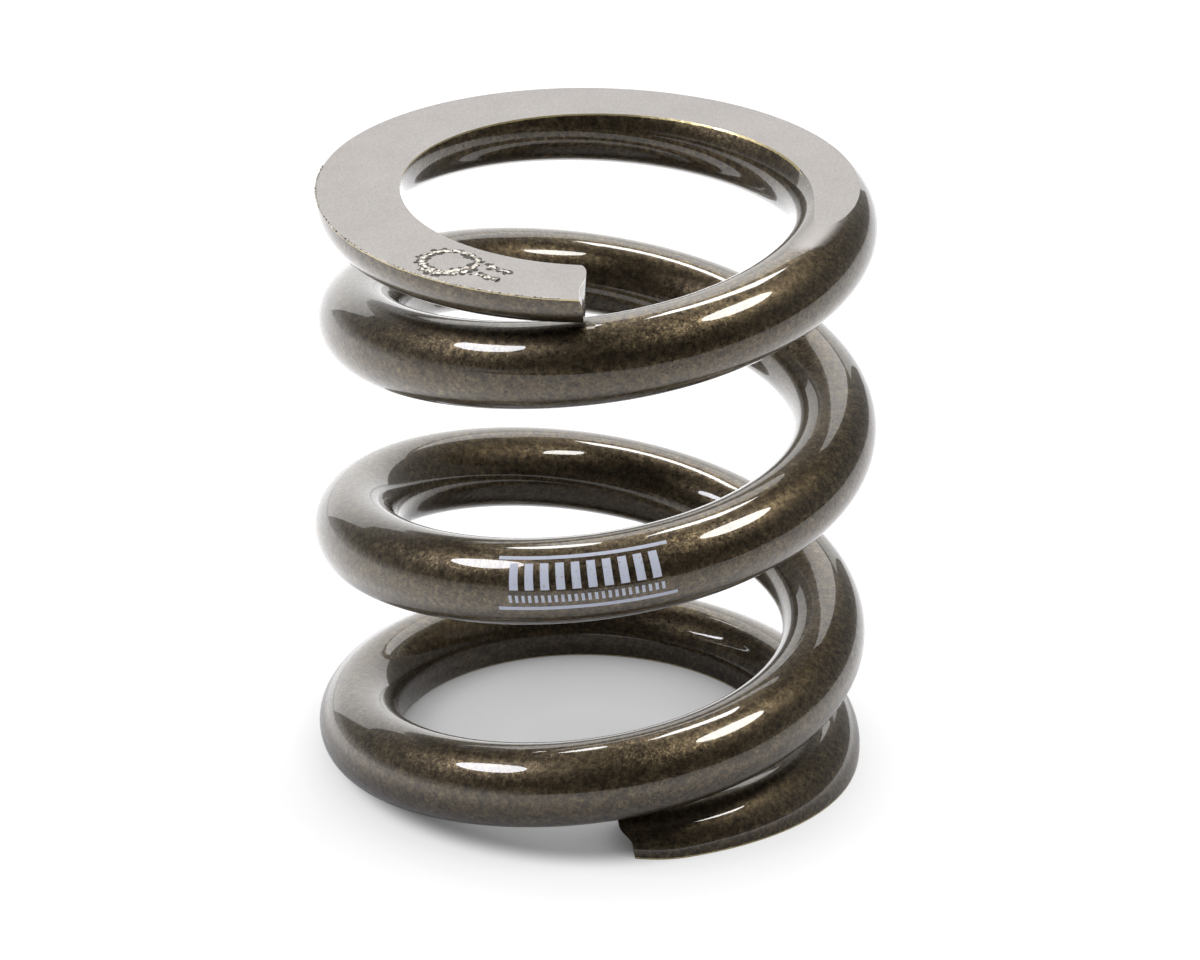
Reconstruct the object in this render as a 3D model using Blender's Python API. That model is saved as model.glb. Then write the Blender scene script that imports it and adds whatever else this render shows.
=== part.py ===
"""Bump stop spring: a short, stiff compression spring wound from one round wire.

The coil is right-handed. Both ends are closed, with the last turn lying just off its neighbour, and are
then ground to flat seats square to the axis, so the wire thins to about half its thickness at each tip.

The axis is Z. The origin is on the axis, in the plane of the lower seat. The front is -Y, where both tips
lie. Angles run from the front and anticlockwise as seen from above. Lengths are in metres.
"""

import math

import bmesh
import bpy
from mathutils import Vector

MM = 0.001

# Size of the spring
OUTSIDE_DIAMETER = 47.2 * MM
WIRE_DIAMETER = 7.0 * MM
FREE_LENGTH = 51.4 * MM
TOTAL_TURNS = 3.973
LOWER_TIP_ANGLE = math.radians(7.3)

# Closed ends: turns from the tip before the coil opens, and turns that it takes to open to the full pitch
LOWER_CLOSED_TURNS = 0.62
LOWER_LEAD_TURNS = 0.23
UPPER_CLOSED_TURNS = 0.688
UPPER_LEAD_TURNS = 0.22
TIP_GAP = 0.33 * MM
LOWER_TIP_THICKNESS = 3.37 * MM
UPPER_TIP_THICKNESS = 3.12 * MM

# End turns wound a little smaller than the body: how much, for how many turns, and the turns of change
LOWER_DRAW_IN = 0.43 * MM
LOWER_DRAWN_TURNS = 0.8
LOWER_RELAX_TURNS = 1.3
UPPER_DRAW_IN = 0.52 * MM
UPPER_DRAWN_TURNS = 1.21
UPPER_RELAX_TURNS = 0.3

# Last stretch of wire at each tip: the lower tip curls inwards and is pinched in a little more where it was
# sheared off, and the upper one springs out a little
LOWER_TIP_CURL = 1.6 * MM
LOWER_CURL_TURNS = 0.21
LOWER_TIP_PINCH = 1.0 * MM
LOWER_PINCH_TURNS = 0.045
UPPER_TIP_SPREAD = 0.4 * MM
UPPER_SPREAD_TURNS = 0.3

# Upper tip, cut square with a rounded inner corner and a nick in its top edge. The nick starts at NICK_INNER,
# is deepest at NICK_MIDDLE, both measured from the middle of the wire, and runs out at the outer side
CORNER_ALONG = 0.6 * MM
CORNER_ACROSS = 1.8 * MM
CORNER_STEPS = 4
CORNER_SWEEP = math.radians(72)
NICK_DEPTH = 0.42 * MM
NICK_SIDE_DEPTH = 0.26 * MM
NICK_HEIGHT = 1.2 * MM
NICK_INNER = -1.2 * MM
NICK_MIDDLE = 1.15 * MM

# Lower tip, sheared: its foot is set back from its top edge in a soft step
SHEAR_SETBACK = 1.1 * MM
SHEAR_STEP_LOW = 0.9 * MM
SHEAR_STEP_RISE = 1.8 * MM
SHEAR_TOE = 0.15 * MM
SHEAR_POINTS = 12

# Fineness of the mesh
POINTS_PER_TURN = 56
WIRE_SIDES = 20
SMOOTH_UNDER = math.radians(30)
WELD = 0.001 * MM

# Spare wire wound past each tip, and the room that the cutters take past the surfaces they cut
SPARE_WIRE = 0.5 * MM
CUT_ROOM = 1.0 * MM

COIL_RADIUS = (OUTSIDE_DIAMETER - WIRE_DIAMETER) / 2
WIRE_RADIUS = WIRE_DIAMETER / 2
TURN_LENGTH = 2 * math.pi * COIL_RADIUS
SPARE_TURNS = SPARE_WIRE / TURN_LENGTH


def ease(x):
    """0 up to x = 0 and 1 from x = 1, with no kink in slope or curvature at either."""
    x = min(max(x, 0.0), 1.0)
    return x * x * x * (x * (6 * x - 15) + 10)


def closed_share(turns, closed, lead):
    """Turns wound at the closed pitch among the first ones from a tip: the integral of 1 - ease."""
    part = min(max((turns - closed) / lead, 0.0), 1.0)
    return min(turns, closed) + lead * (part - part**6 + 3 * part**5 - 2.5 * part**4)


def lower_closed(turns):
    return closed_share(turns, LOWER_CLOSED_TURNS, LOWER_LEAD_TURNS)


def upper_closed(turns):
    return closed_share(turns, UPPER_CLOSED_TURNS, UPPER_LEAD_TURNS)


def pitches():
    """Pitch of the body, and how much smaller the pitch of the lower and of the upper end turn is.

    Each end pitch is the one that leaves TIP_GAP between a tip and the wire one turn away from it.
    """
    lower_z = LOWER_TIP_THICKNESS - WIRE_RADIUS
    upper_z = FREE_LENGTH - UPPER_TIP_THICKNESS + WIRE_RADIUS
    touching = WIRE_DIAMETER + TIP_GAP
    lower_share = lower_closed(TOTAL_TURNS) / lower_closed(1.0)
    upper_share = upper_closed(TOTAL_TURNS) / upper_closed(1.0)
    rise = upper_z - lower_z - touching * (lower_share + upper_share)
    body = rise / (TOTAL_TURNS - lower_share - upper_share)
    return body, (body - touching) / lower_closed(1.0), (body - touching) / upper_closed(1.0)


BODY_PITCH, LOWER_LOSS, UPPER_LOSS = pitches()


def wire_height(turns):
    """Height of the wire's centre, this many turns from the lower tip."""
    from_top = TOTAL_TURNS - turns
    lost_low = LOWER_LOSS * lower_closed(turns)
    lost_high = UPPER_LOSS * (upper_closed(TOTAL_TURNS) - upper_closed(from_top))
    return LOWER_TIP_THICKNESS - WIRE_RADIUS + BODY_PITCH * turns - lost_low - lost_high


def wire_reach(turns):
    """Distance of the wire's centre from the axis, this many turns from the lower tip."""
    from_top = TOTAL_TURNS - turns
    drawn_low = LOWER_DRAW_IN * (1 - ease((turns - LOWER_DRAWN_TURNS) / LOWER_RELAX_TURNS))
    drawn_high = UPPER_DRAW_IN * (1 - ease((from_top - UPPER_DRAWN_TURNS) / UPPER_RELAX_TURNS))
    curl = LOWER_TIP_CURL * (1 - ease(turns / LOWER_CURL_TURNS))
    pinch = LOWER_TIP_PINCH * (1 - ease(turns / LOWER_PINCH_TURNS))
    spread = UPPER_TIP_SPREAD * (1 - ease(from_top / UPPER_SPREAD_TURNS))
    return COIL_RADIUS - drawn_low - drawn_high - curl - pinch + spread


def directions(turns):
    """Unit vectors away from the axis, and along the wire towards the upper tip, both level."""
    angle = LOWER_TIP_ANGLE + 2 * math.pi * turns
    outwards = Vector((math.sin(angle), -math.cos(angle), 0.0))
    onwards = Vector((math.cos(angle), math.sin(angle), 0.0))
    return outwards, onwards


def wire_point(turns):
    outwards, _ = directions(turns)
    return outwards * wire_reach(turns) + Vector((0.0, 0.0, wire_height(turns)))


def new_collection(name):
    made = bpy.data.collections.new(name)
    bpy.context.scene.collection.children.link(made)
    return made


def wound_wire(name, collection):
    """The wire with its full round section, a little longer than the spring at both tips."""
    path = bpy.data.curves.new(name + "_path", "CURVE")
    path.dimensions = "3D"
    path.twist_mode = "Z_UP"
    path.bevel_depth = WIRE_RADIUS
    path.bevel_resolution = WIRE_SIDES // 2 - 2
    path.use_fill_caps = True
    length = TOTAL_TURNS + 2 * SPARE_TURNS
    steps = round(length * POINTS_PER_TURN)
    spline = path.splines.new("POLY")
    spline.points.add(steps)
    for number, point in enumerate(spline.points):
        point.co = (*wire_point(length * number / steps - SPARE_TURNS), 1.0)
    wound = bpy.data.objects.new(name + "_path", path)
    collection.objects.link(wound)
    bpy.context.view_layer.update()
    evaluated = wound.evaluated_get(bpy.context.evaluated_depsgraph_get())
    mesh = bpy.data.meshes.new_from_object(evaluated)
    mesh.name = name
    shape = bmesh.new()
    shape.from_mesh(mesh)
    bmesh.ops.remove_doubles(shape, verts=shape.verts, dist=WELD)
    shape.to_mesh(mesh)
    shape.free()
    wire = bpy.data.objects.new(name, mesh)
    wire.matrix_world = wound.matrix_world.copy()
    collection.objects.link(wire)
    bpy.data.objects.remove(wound)
    return wire


def prism(name, collection, outline, origin, axes, span, lean=0.0):
    """Cutter with a constant outline.

    axes holds the directions of the outline's two coordinates and of its extrusion, and span is the reach of
    the extrusion to both sides of origin. lean slides the outline along its first axis as it goes.
    """
    across, along, through = axes
    shape = bmesh.new()
    rings = []
    for reach in span:
        ring = []
        for u, v in outline:
            place = origin + across * (u + lean * reach) + along * v + through * reach
            ring.append(shape.verts.new(place))
        rings.append(ring)
    shape.faces.new(rings[0])
    shape.faces.new(rings[1])
    for number in range(len(outline)):
        after = (number + 1) % len(outline)
        shape.faces.new((rings[0][number], rings[0][after], rings[1][after], rings[1][number]))
    bmesh.ops.recalc_face_normals(shape, faces=shape.faces)
    mesh = bpy.data.meshes.new(name)
    shape.to_mesh(mesh)
    shape.free()
    cutter = bpy.data.objects.new(name, mesh)
    cutter.hide_render = True
    cutter.display_type = "WIRE"
    collection.objects.link(cutter)
    return cutter


def grinding_cutter(name, collection, height, span):
    """Slab over the whole spring, from one seat plane outwards."""
    half = OUTSIDE_DIAMETER
    outline = [(-half, -half), (half, -half), (half, half), (-half, half)]
    axes = (Vector((1, 0, 0)), Vector((0, 1, 0)), Vector((0, 0, 1)))
    return prism(name, collection, outline, Vector((0, 0, height)), axes, span)


def upper_tip_cutters(collection):
    """Cuts the upper tip square, with its inner corner rounded in plan, and nicks the top edge of the cut."""
    outwards, onwards = directions(TOTAL_TURNS)
    up = Vector((0, 0, 1))
    origin = outwards * wire_reach(TOTAL_TURNS) + up * FREE_LENGTH
    side = WIRE_RADIUS + CUT_ROOM
    outline = [(CUT_ROOM, -side), (CUT_ROOM, side), (0.0, side)]
    for step in range(CORNER_STEPS + 1):
        turn = CORNER_SWEEP * step / CORNER_STEPS
        back = CORNER_ALONG * (math.cos(turn) - 1)
        outline.append((back, -WIRE_RADIUS + CORNER_ACROSS * (1 - math.sin(turn))))
    outline.append((-CORNER_ALONG, -side))
    axes = (onwards, outwards, up)
    below = -UPPER_TIP_THICKNESS - TIP_GAP / 2
    tip = prism("cut_upper_tip", collection, outline, origin, axes, (below, CUT_ROOM))

    nick_outline = [
        (CUT_ROOM, NICK_INNER),
        (0.0, NICK_INNER),
        (-NICK_DEPTH, NICK_MIDDLE),
        (-NICK_SIDE_DEPTH, side),
        (CUT_ROOM, side),
    ]
    span = (-NICK_HEIGHT - CUT_ROOM, CUT_ROOM)
    lean = -NICK_DEPTH / NICK_HEIGHT
    nick = prism("cut_upper_nick", collection, nick_outline, origin, axes, span, lean)
    return tip, nick


def lower_tip_cutter(collection):
    """Shears the lower tip: a section in height and length, run straight across the wire."""
    outwards, onwards = directions(0.0)
    up = Vector((0, 0, 1))
    top = LOWER_TIP_THICKNESS + TIP_GAP / 2
    outline = [(CUT_ROOM, top), (CUT_ROOM, -CUT_ROOM)]
    for number in range(SHEAR_POINTS + 1):
        height = -CUT_ROOM + (top + CUT_ROOM) * number / SHEAR_POINTS
        step = SHEAR_SETBACK * (1 - ease((height - SHEAR_STEP_LOW) / SHEAR_STEP_RISE))
        toe = SHEAR_TOE * max(0.0, 1 - height / SHEAR_STEP_LOW)
        outline.append((-step - toe, height))
    side = WIRE_RADIUS + CUT_ROOM
    axes = (-onwards, up, outwards)
    return prism("cut_lower_tip", collection, outline, outwards * wire_reach(0.0), axes, (-side, side))


def cut_away(body, cutters):
    """Takes the cutters out of the body and keeps the result as its plain mesh."""
    for cutter in cutters:
        cut = body.modifiers.new(cutter.name, "BOOLEAN")
        cut.operation = "DIFFERENCE"
        cut.solver = "EXACT"
        cut.object = cutter
    bpy.context.view_layer.update()
    evaluated = body.evaluated_get(bpy.context.evaluated_depsgraph_get())
    result = bpy.data.meshes.new_from_object(evaluated)
    body.modifiers.clear()
    whole = body.data
    body.data = result
    bpy.data.meshes.remove(whole)
    result.name = body.name


def shade(body):
    """Smooth round the wire, with a crisp edge round both seats and at the cuts."""
    mesh = body.data
    mesh.shade_smooth()
    mesh.set_sharp_from_angle(angle=SMOOTH_UNDER)
    shape = bmesh.new()
    shape.from_mesh(mesh)
    for face in shape.faces:
        height = face.calc_center_median().z
        if min(abs(height), abs(height - FREE_LENGTH)) < WELD:
            face.smooth = False
            for edge in face.edges:
                edge.smooth = False
    shape.to_mesh(mesh)
    shape.free()


def powder_coat():
    """Bronze powder coat with a metallic fleck, over spring steel."""
    made = bpy.data.materials.new("powder_coat")
    made.use_nodes = True
    shader = made.node_tree.nodes["Principled BSDF"]
    shader.inputs["Base Color"].default_value = (0.055, 0.040, 0.024, 1.0)
    shader.inputs["Metallic"].default_value = 0.35
    shader.inputs["Roughness"].default_value = 0.3
    shader.inputs["Coat Weight"].default_value = 0.6
    shader.inputs["Coat Roughness"].default_value = 0.12
    made.diffuse_color = (0.055, 0.040, 0.024, 1.0)
    return made


def main():
    for old in list(bpy.data.objects):
        bpy.data.objects.remove(old)
    spring = new_collection("bump_stop_spring")
    cutters = new_collection("cutters")
    cutters.hide_render = True

    coil = wound_wire("coil_spring", spring)
    upper_tip, upper_nick = upper_tip_cutters(cutters)
    grind_up = grinding_cutter("cut_upper_seat", cutters, FREE_LENGTH, (0.0, WIRE_DIAMETER))
    grind_low = grinding_cutter("cut_lower_seat", cutters, 0.0, (-WIRE_DIAMETER, 0.0))
    cut_away(coil, (lower_tip_cutter(cutters), upper_tip, upper_nick, grind_up, grind_low))
    shade(coil)
    coil.data.materials.clear()
    coil.data.materials.append(powder_coat())


main()
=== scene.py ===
"""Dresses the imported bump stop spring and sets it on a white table.

The spring is one wound wire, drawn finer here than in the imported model: a dark bronze metallic paint under
clear coat all over, except on the two ground seats, which are bare steel. A plain pad print lies on the
front of the middle turn and an etched loop on the upper seat.

Lengths are in metres, the coil's axis is Z, and -Y is the front, where both tips of the wire lie.
"""

import math

import bmesh
import bpy
from bpy.props import FloatProperty, FloatVectorProperty, IntProperty, PointerProperty
from mathutils import Color, Matrix, Vector


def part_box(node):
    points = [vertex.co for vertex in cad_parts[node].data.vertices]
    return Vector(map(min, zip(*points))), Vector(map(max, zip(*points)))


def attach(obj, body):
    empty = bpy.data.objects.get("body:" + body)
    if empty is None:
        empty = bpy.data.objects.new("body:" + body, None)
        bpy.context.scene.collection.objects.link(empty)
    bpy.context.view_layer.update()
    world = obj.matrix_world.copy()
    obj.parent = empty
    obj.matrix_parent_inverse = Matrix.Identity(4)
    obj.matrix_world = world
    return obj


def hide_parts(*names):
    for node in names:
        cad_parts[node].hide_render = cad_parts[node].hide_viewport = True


bl_info = {
    "name": "Bump Stop Spring",
    "version": (1, 0, 0),
    "blender": (4, 5, 0),
    "location": "3D View > Sidebar > Spring",
    "description": "Winds a closed and ground compression spring and sets the stage for it",
    "category": "Object",
}

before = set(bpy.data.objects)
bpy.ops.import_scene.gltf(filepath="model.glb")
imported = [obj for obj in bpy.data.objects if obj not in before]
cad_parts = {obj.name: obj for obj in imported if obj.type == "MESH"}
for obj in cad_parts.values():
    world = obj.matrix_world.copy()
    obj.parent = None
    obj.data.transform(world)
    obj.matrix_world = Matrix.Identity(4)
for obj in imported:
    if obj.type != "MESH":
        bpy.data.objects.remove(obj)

MM = 0.001
NODE = "coil_spring"
BODY = "root"
CAD_LOW, CAD_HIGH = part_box(NODE)
IMAGE_WIDTH = 1200


def linear(hex_colour):
    """Linear red, green and blue of an sRGB hex colour."""
    channels = (int(hex_colour[i : i + 2], 16) / 255 for i in (1, 3, 5))
    return [c / 12.92 if c <= 0.04045 else ((c + 0.055) / 1.055) ** 2.4 for c in channels]


def length_setting(name, description, metres):
    return FloatProperty(name=name, description=description, default=metres, unit="LENGTH")


def turns_setting(name, description, turns):
    return FloatProperty(name=name, description=description, default=turns)


def angle_setting(name, description, degrees):
    return FloatProperty(name=name, description=description, default=math.radians(degrees), subtype="ANGLE")


def colour_setting(name, description, hex_colour):
    return FloatVectorProperty(
        name=name, description=description, default=linear(hex_colour), subtype="COLOR", size=3
    )


class SpringSizes(bpy.types.PropertyGroup):
    """The wire and the way it is wound. Each name is also the name of an input of the node trees."""

    outside_diameter: length_setting("Outside Diameter", "Across the body turns", 47.2 * MM)
    wire_diameter: length_setting("Wire Diameter", "Thickness of the round wire", 7.0 * MM)
    free_length: length_setting("Free Length", "From seat to seat", CAD_HIGH.z - CAD_LOW.z)
    total_turns: turns_setting("Total Turns", "From tip to tip", 3.973)
    lower_tip_angle: angle_setting("Lower Tip Angle", "Where the wire starts, anticlockwise from the front", 7.3)
    lower_closed_turns: turns_setting("Lower Closed Turns", "Turns before the coil opens, from the lower tip", 0.62)
    lower_lead_turns: turns_setting("Lower Lead Turns", "Turns that the coil takes to open", 0.23)
    upper_closed_turns: turns_setting("Upper Closed Turns", "Turns before the coil opens, from the upper tip", 0.688)
    upper_lead_turns: turns_setting("Upper Lead Turns", "Turns that the coil takes to open", 0.22)
    tip_gap: length_setting("Tip Gap", "Between a tip and the next turn", 0.33 * MM)
    lower_tip_thickness: length_setting("Lower Tip Thickness", "Wire left at the ground lower tip", 3.37 * MM)
    upper_tip_thickness: length_setting("Upper Tip Thickness", "Wire left at the ground upper tip", 3.12 * MM)
    lower_draw_in: length_setting("Lower Draw In", "How much smaller the lower end turn is wound", 0.43 * MM)
    lower_drawn_turns: turns_setting("Lower Drawn Turns", "Turns wound that much smaller", 0.8)
    lower_relax_turns: turns_setting("Lower Relax Turns", "Turns over which the radius grows back", 1.3)
    upper_draw_in: length_setting("Upper Draw In", "How much smaller the upper end turn is wound", 0.52 * MM)
    upper_drawn_turns: turns_setting("Upper Drawn Turns", "Turns wound that much smaller", 1.21)
    upper_relax_turns: turns_setting("Upper Relax Turns", "Turns over which the radius grows back", 0.3)
    lower_tip_curl: length_setting("Lower Tip Curl", "How far the lower tip curls inwards", 1.6 * MM)
    lower_curl_turns: turns_setting("Lower Curl Turns", "Turns over which it curls", 0.21)
    lower_tip_pinch: length_setting("Lower Tip Pinch", "How far the sheared tip is pinched in", 1.0 * MM)
    lower_pinch_turns: turns_setting("Lower Pinch Turns", "Turns over which it is pinched", 0.045)
    upper_tip_spread: length_setting("Upper Tip Spread", "How far the upper tip springs out", 0.4 * MM)
    upper_spread_turns: turns_setting("Upper Spread Turns", "Turns over which it springs out", 0.3)


class SpringFinish(bpy.types.PropertyGroup):
    """Colours of the paint, the bare steel and the ink, and how finely the wire is drawn."""

    paint_dark: colour_setting("Paint Dark", "Brown ground of the metallic paint", "#2B2016")
    paint_fleck: colour_setting("Paint Fleck", "Bronze flakes in the paint", "#968766")
    steel: colour_setting("Ground Steel", "Bare seats", "#8B8784")
    ink: colour_setting("Ink", "Pad print", "#C3C8D8")
    # The paint worn thin along the seats, made lighter also as a painted highlight on that edge
    paint_edge_and_highlight: colour_setting("Paint Edge And Highlight", "Paint worn thin along the seats", "#C9B988")
    # Burnt is laid in random patches by noise on the etched beads, and colours the spatter
    burr: colour_setting("Burr", "Steel raised by the etcher", "#B8B2A9")
    burnt: colour_setting("Burnt", "Pits between the crests", "#3A352F")
    points_per_turn: IntProperty(
        name="Points Per Turn", description="Rings of the wire's mesh in one turn", default=230, min=24
    )
    wire_sides: IntProperty(name="Wire Sides", description="Sides of the wire's round section", default=64, min=12)


class PrintSettings(bpy.types.PropertyGroup):
    """The pad print, laid out flat. Lengths run along the wire and heights round its section."""

    print_turns: turns_setting("Print Turns", "Its middle, from the lower tip", 1.977)
    print_angle: angle_setting("Print Angle", "Its middle, up round the wire's section from its outer side", 22)
    line_length: length_setting("Line Length", "Length of the two lines", 14.6 * MM)
    line_width: length_setting("Line Width", "Thickness of the two lines", 0.32 * MM)
    line_height: length_setting("Line Height", "Middle of the print to each line", 2.15 * MM)
    bar_count: IntProperty(name="Bar Count", description="Bars in the upper row", default=10, min=1)
    bar_pitch: length_setting("Bar Pitch", "From bar to bar", 1.3 * MM)
    bar_width: length_setting("Bar Width", "Along the wire", 0.72 * MM)
    bar_length: length_setting("Bar Length", "Round the wire", 2.2 * MM)
    bar_height: length_setting("Bar Height", "Middle of the print to the row", 0.55 * MM)
    tick_count: IntProperty(name="Tick Count", description="Ticks in the lower row", default=24, min=1)
    tick_pitch: length_setting("Tick Pitch", "From tick to tick", 0.54 * MM)
    tick_width: length_setting("Tick Width", "Along the wire", 0.26 * MM)
    tick_length: length_setting("Tick Length", "Round the wire", 0.62 * MM)
    tick_height: length_setting("Tick Height", "Middle of the print to the row", -1.3 * MM)
    ink_thickness: length_setting("Ink Thickness", "Thickness of the ink, half of it proud", 0.04 * MM)


class EtchSettings(bpy.types.PropertyGroup):
    """The loop etched by hand on the upper seat."""

    etch_angle: angle_setting("Etch Angle", "Where it lies, anticlockwise from the front", -36)
    etch_reach: length_setting("Etch Reach", "From the axis", 20.0 * MM)
    loop_inside: length_setting("Loop Inside", "Radius at its start", 1.9 * MM)
    loop_outside: length_setting("Loop Outside", "Radius at its end", 2.5 * MM)
    loop_turns: turns_setting("Loop Turns", "Times round", 1.3)
    bead_radius: length_setting("Bead Radius", "Half the width of the raised stroke", 0.32 * MM)
    bead_step: length_setting("Bead Step", "From lump to lump", 0.12 * MM)
    bead_relief: FloatProperty(name="Bead Relief", description="Its height, as a share of its width", default=0.4)
    shake: length_setting("Shake", "How far the etcher strays", 0.45 * MM)


class StageSettings(bpy.types.PropertyGroup):
    """Camera and floor."""

    camera_distance: length_setting("Camera Distance", "From the middle of the spring", 449.3 * MM)
    camera_elevation: angle_setting("Camera Elevation", "Above level", 25.093)
    camera_yaw: angle_setting("Camera Yaw", "Aim right of the axis", 0.071)
    camera_pitch: angle_setting("Camera Pitch", "Aim above the middle", -0.092)
    camera_roll: angle_setting("Camera Roll", "Tilt about the line of sight", 0.797)
    focal_pixels: FloatProperty(
        name="Focal Length In Pixels", description="In a picture 1200 pixels wide", default=5353.8
    )
    floor_colour: colour_setting("Floor", "White table top", "#D8D8DA")
    fill_colour: colour_setting("Fill", "Light from the walls that fills shadows", "#BABABA")
    wall_colour: colour_setting("Walls", "Walls beside and behind the table", "#81807E")
    room_colour: colour_setting("Room", "Dim room above the table", "#2E2D2C")


# How far a face may lie under a seat and still be part of it, how far apart in turns two points of the wire lie that
# give its direction, and how large the swellings of a melted stroke are
SEAT_TOLERANCE = 0.001 * MM
TURN_STEP = 0.001
FLOW_SIZE = 0.5 * MM

# A Map Range node's inputs, in order
RAMP = ("Value", "From Min", "From Max", "To Min", "To Max")
WHITE = (1.0, 1.0, 1.0, 1.0)


class Wiring:
    """A node tree, and what is known in it by name: its inputs, its nodes and plain numbers."""

    def __init__(self, tree):
        self.tree, self.known = tree, {}

    def find(self, name):
        """What is known by this name. A node stands for its first output, or for the one after a dot."""
        name, _, output = name.partition(".")
        found = self.known[name]
        if isinstance(found, bpy.types.Node):
            found = found.outputs[int(output) if output.isdigit() else output or 0]
        return found

    def feed(self, node, inputs):
        """Gives a node's sockets, by name or number, their values, or links them to what feeds them."""
        for socket, value in inputs.items():
            if isinstance(value, str):
                value = self.find(value)
            if isinstance(value, bpy.types.NodeSocket):
                self.tree.links.new(value, node.inputs[socket])
            else:
                node.inputs[socket].default_value = (*value, 1.0) if isinstance(value, Color) else value

    def add(self, name, kind, inputs=None, **settings):
        """Adds a node with these settings and inputs. It is known by its name from here on."""
        node = self.tree.nodes.new(kind)
        for setting, value in {"label": name, **settings}.items():
            setattr(node, setting, value)
        self.feed(node, inputs or {})
        self.known[name] = node
        return node

    def work_out(self, steps, kind="ShaderNodeMath"):
        """Adds a node for each step of a sum, given as its name, its operation and its operands."""
        for name, operation, *operands in steps:
            self.add(name, kind, dict(enumerate(operands)), operation=operation)


def new_group(name, floats, outputs=(("Geometry", "Geometry"),), **others):
    """Wiring of a new node group. others holds the names of its inputs that aren't floats, by their kind."""
    tree = bpy.data.node_groups.new(name, "GeometryNodeTree")
    for kind, labels in {"Float": floats, **others}.items():
        for label in labels:
            tree.interface.new_socket(label, in_out="INPUT", socket_type="NodeSocket" + kind)
    for label, kind in outputs:
        tree.interface.new_socket(label, in_out="OUTPUT", socket_type="NodeSocket" + kind)
    w = Wiring(tree)
    w.known.update({socket.name: socket for socket in tree.nodes.new("NodeGroupInput").outputs if socket.name})
    return w


def own_properties(group):
    return [item for item in group.bl_rna.properties if item.identifier not in ("rna_type", "name")]


def names_of(group):
    return [item.name for item in own_properties(group)]


def values_of(*groups):
    """Settings by the names that the node trees use."""
    return {item.name: getattr(group, item.identifier) for group in groups for item in own_properties(group)}


def closed_share_group():
    """Turns wound at the closed pitch among the first ones from a tip."""
    w = new_group("Closed share", ["Turns", "Closed", "Lead"], outputs=[("Share", "Float")])
    w.work_out((
        ("past closed", "SUBTRACT", "Turns", "Closed"),
        ("raw part", "DIVIDE", "past closed", "Lead"),
        ("part at least 0", "MAXIMUM", "raw part", 0.0),
        ("part", "MINIMUM", "part at least 0", 1.0),
        ("part^4", "POWER", "part", 4.0),
        ("part^5", "MULTIPLY", "part^4", "part"),
        ("part^6", "MULTIPLY", "part^5", "part"),
        ("first sum", "MULTIPLY_ADD", "part^5", 3.0, "part"),
        ("second sum", "MULTIPLY_ADD", "part^4", -2.5, "first sum"),
        ("third sum", "SUBTRACT", "second sum", "part^6"),
        ("whole turns", "MINIMUM", "Turns", "Closed"),
        ("share", "MULTIPLY_ADD", "third sum", "Lead", "whole turns"),
    ))
    w.add("result", "NodeGroupOutput", {"Share": "share"})
    return w.tree


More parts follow.
